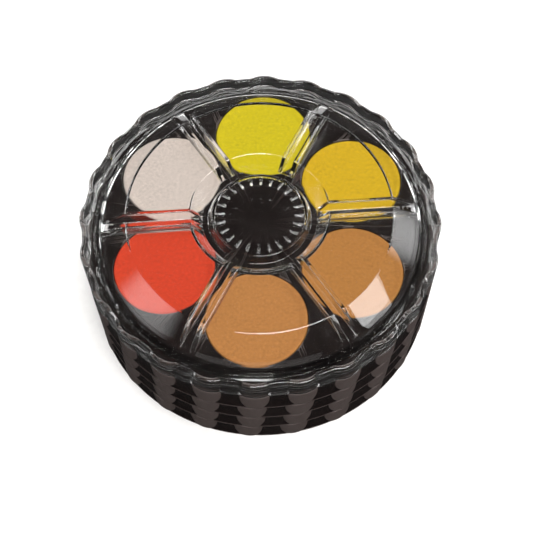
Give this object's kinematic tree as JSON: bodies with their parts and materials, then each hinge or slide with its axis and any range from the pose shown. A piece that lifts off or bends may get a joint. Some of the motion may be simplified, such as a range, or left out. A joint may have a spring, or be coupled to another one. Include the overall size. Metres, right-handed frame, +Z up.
{
  "type": "watercolor pan set",
  "caption": "Round stack of black trays with pressed watercolour tablets in wells, under a clear lid whose hollows serve as mixing wells.",
  "frame": {"origin": "middle of the underside of the bottom tray, on the surface that the stack stands on", "axes": "+Z up the stack, out of the lid; +X to the right and -Y towards the viewer, with a tablet of every tray near -Y"},
  "size_m": [0.0866, 0.0866, 0.0349],
  "materials": {
    "lid": "clear moulded polystyrene, glossy",
    "tray": "black moulded polystyrene, glossy with a soft grain on the grips",
    "paint_carmine": "pressed watercolour paint, chalky and matt",
    "paint_pink": "pressed watercolour paint, chalky and matt",
    "paint_orange": "pressed watercolour paint, chalky and matt",
    "paint_burnt_sienna": "pressed watercolour paint, chalky and matt",
    "paint_burnt_umber": "pressed watercolour paint, chalky and matt",
    "paint_black": "pressed watercolour paint, chalky and matt",
    "paint_sky_blue": "pressed watercolour paint, chalky and matt",
    "paint_cobalt_blue": "pressed watercolour paint, chalky and matt",
    "paint_ultramarine": "pressed watercolour paint, chalky and matt",
    "paint_prussian_blue": "pressed watercolour paint, chalky and matt",
    "paint_violet": "pressed watercolour paint, chalky and matt",
    "paint_turquoise": "pressed watercolour paint, chalky and matt",
    "paint_light_green": "pressed watercolour paint, chalky and matt",
    "paint_emerald_green": "pressed watercolour paint, chalky and matt",
    "paint_viridian": "pressed watercolour paint, chalky and matt",
    "paint_sap_green": "pressed watercolour paint, chalky and matt",
    "paint_olive_green": "pressed watercolour paint, chalky and matt",
    "paint_dark_green": "pressed watercolour paint, chalky and matt",
    "paint_golden_yellow": "pressed watercolour paint, chalky and matt",
    "paint_lemon_yellow": "pressed watercolour paint, chalky and matt",
    "paint_white": "pressed watercolour paint, chalky and matt",
    "paint_vermilion": "pressed watercolour paint, chalky and matt",
    "paint_yellow_ochre": "pressed watercolour paint, chalky and matt",
    "paint_raw_sienna": "pressed watercolour paint, chalky and matt"
  },
  "bodies": {
    "tray_1": {"tray_1": "tray", "tablet_carmine": "paint_carmine", "tablet_pink": "paint_pink", "tablet_orange": "paint_orange", "tablet_burnt_sienna": "paint_burnt_sienna", "tablet_burnt_umber": "paint_burnt_umber", "tablet_black": "paint_black"},
    "tray_2": {"tray_2": "tray", "tablet_sky_blue": "paint_sky_blue", "tablet_cobalt_blue": "paint_cobalt_blue", "tablet_ultramarine": "paint_ultramarine", "tablet_prussian_blue": "paint_prussian_blue", "tablet_violet": "paint_violet", "tablet_turquoise": "paint_turquoise"},
    "tray_3": {"tray_3": "tray", "tablet_light_green": "paint_light_green", "tablet_emerald_green": "paint_emerald_green", "tablet_viridian": "paint_viridian", "tablet_sap_green": "paint_sap_green", "tablet_olive_green": "paint_olive_green", "tablet_dark_green": "paint_dark_green"},
    "tray_4": {"tray_4": "tray", "tablet_golden_yellow": "paint_golden_yellow", "tablet_lemon_yellow": "paint_lemon_yellow", "tablet_white": "paint_white", "tablet_vermilion": "paint_vermilion", "tablet_yellow_ochre": "paint_yellow_ochre", "tablet_raw_sienna": "paint_raw_sienna"},
    "lid": {"lid": "lid"}
  },
  "joints": [
    {"name": "tray_2_lift", "type": "slide", "parent": "tray_1", "child": "tray_2", "axis": [0, 0, 1], "range_m": [0, 0.012]},
    {"name": "tray_3_lift", "type": "slide", "parent": "tray_2", "child": "tray_3", "axis": [0, 0, 1], "range_m": [0, 0.012]},
    {"name": "tray_4_lift", "type": "slide", "parent": "tray_3", "child": "tray_4", "axis": [0, 0, 1], "range_m": [0, 0.012]},
    {"name": "lid_lift", "type": "slide", "parent": "tray_4", "child": "lid", "axis": [0, 0, 1], "range_m": [0, 0.012]}
  ]
}
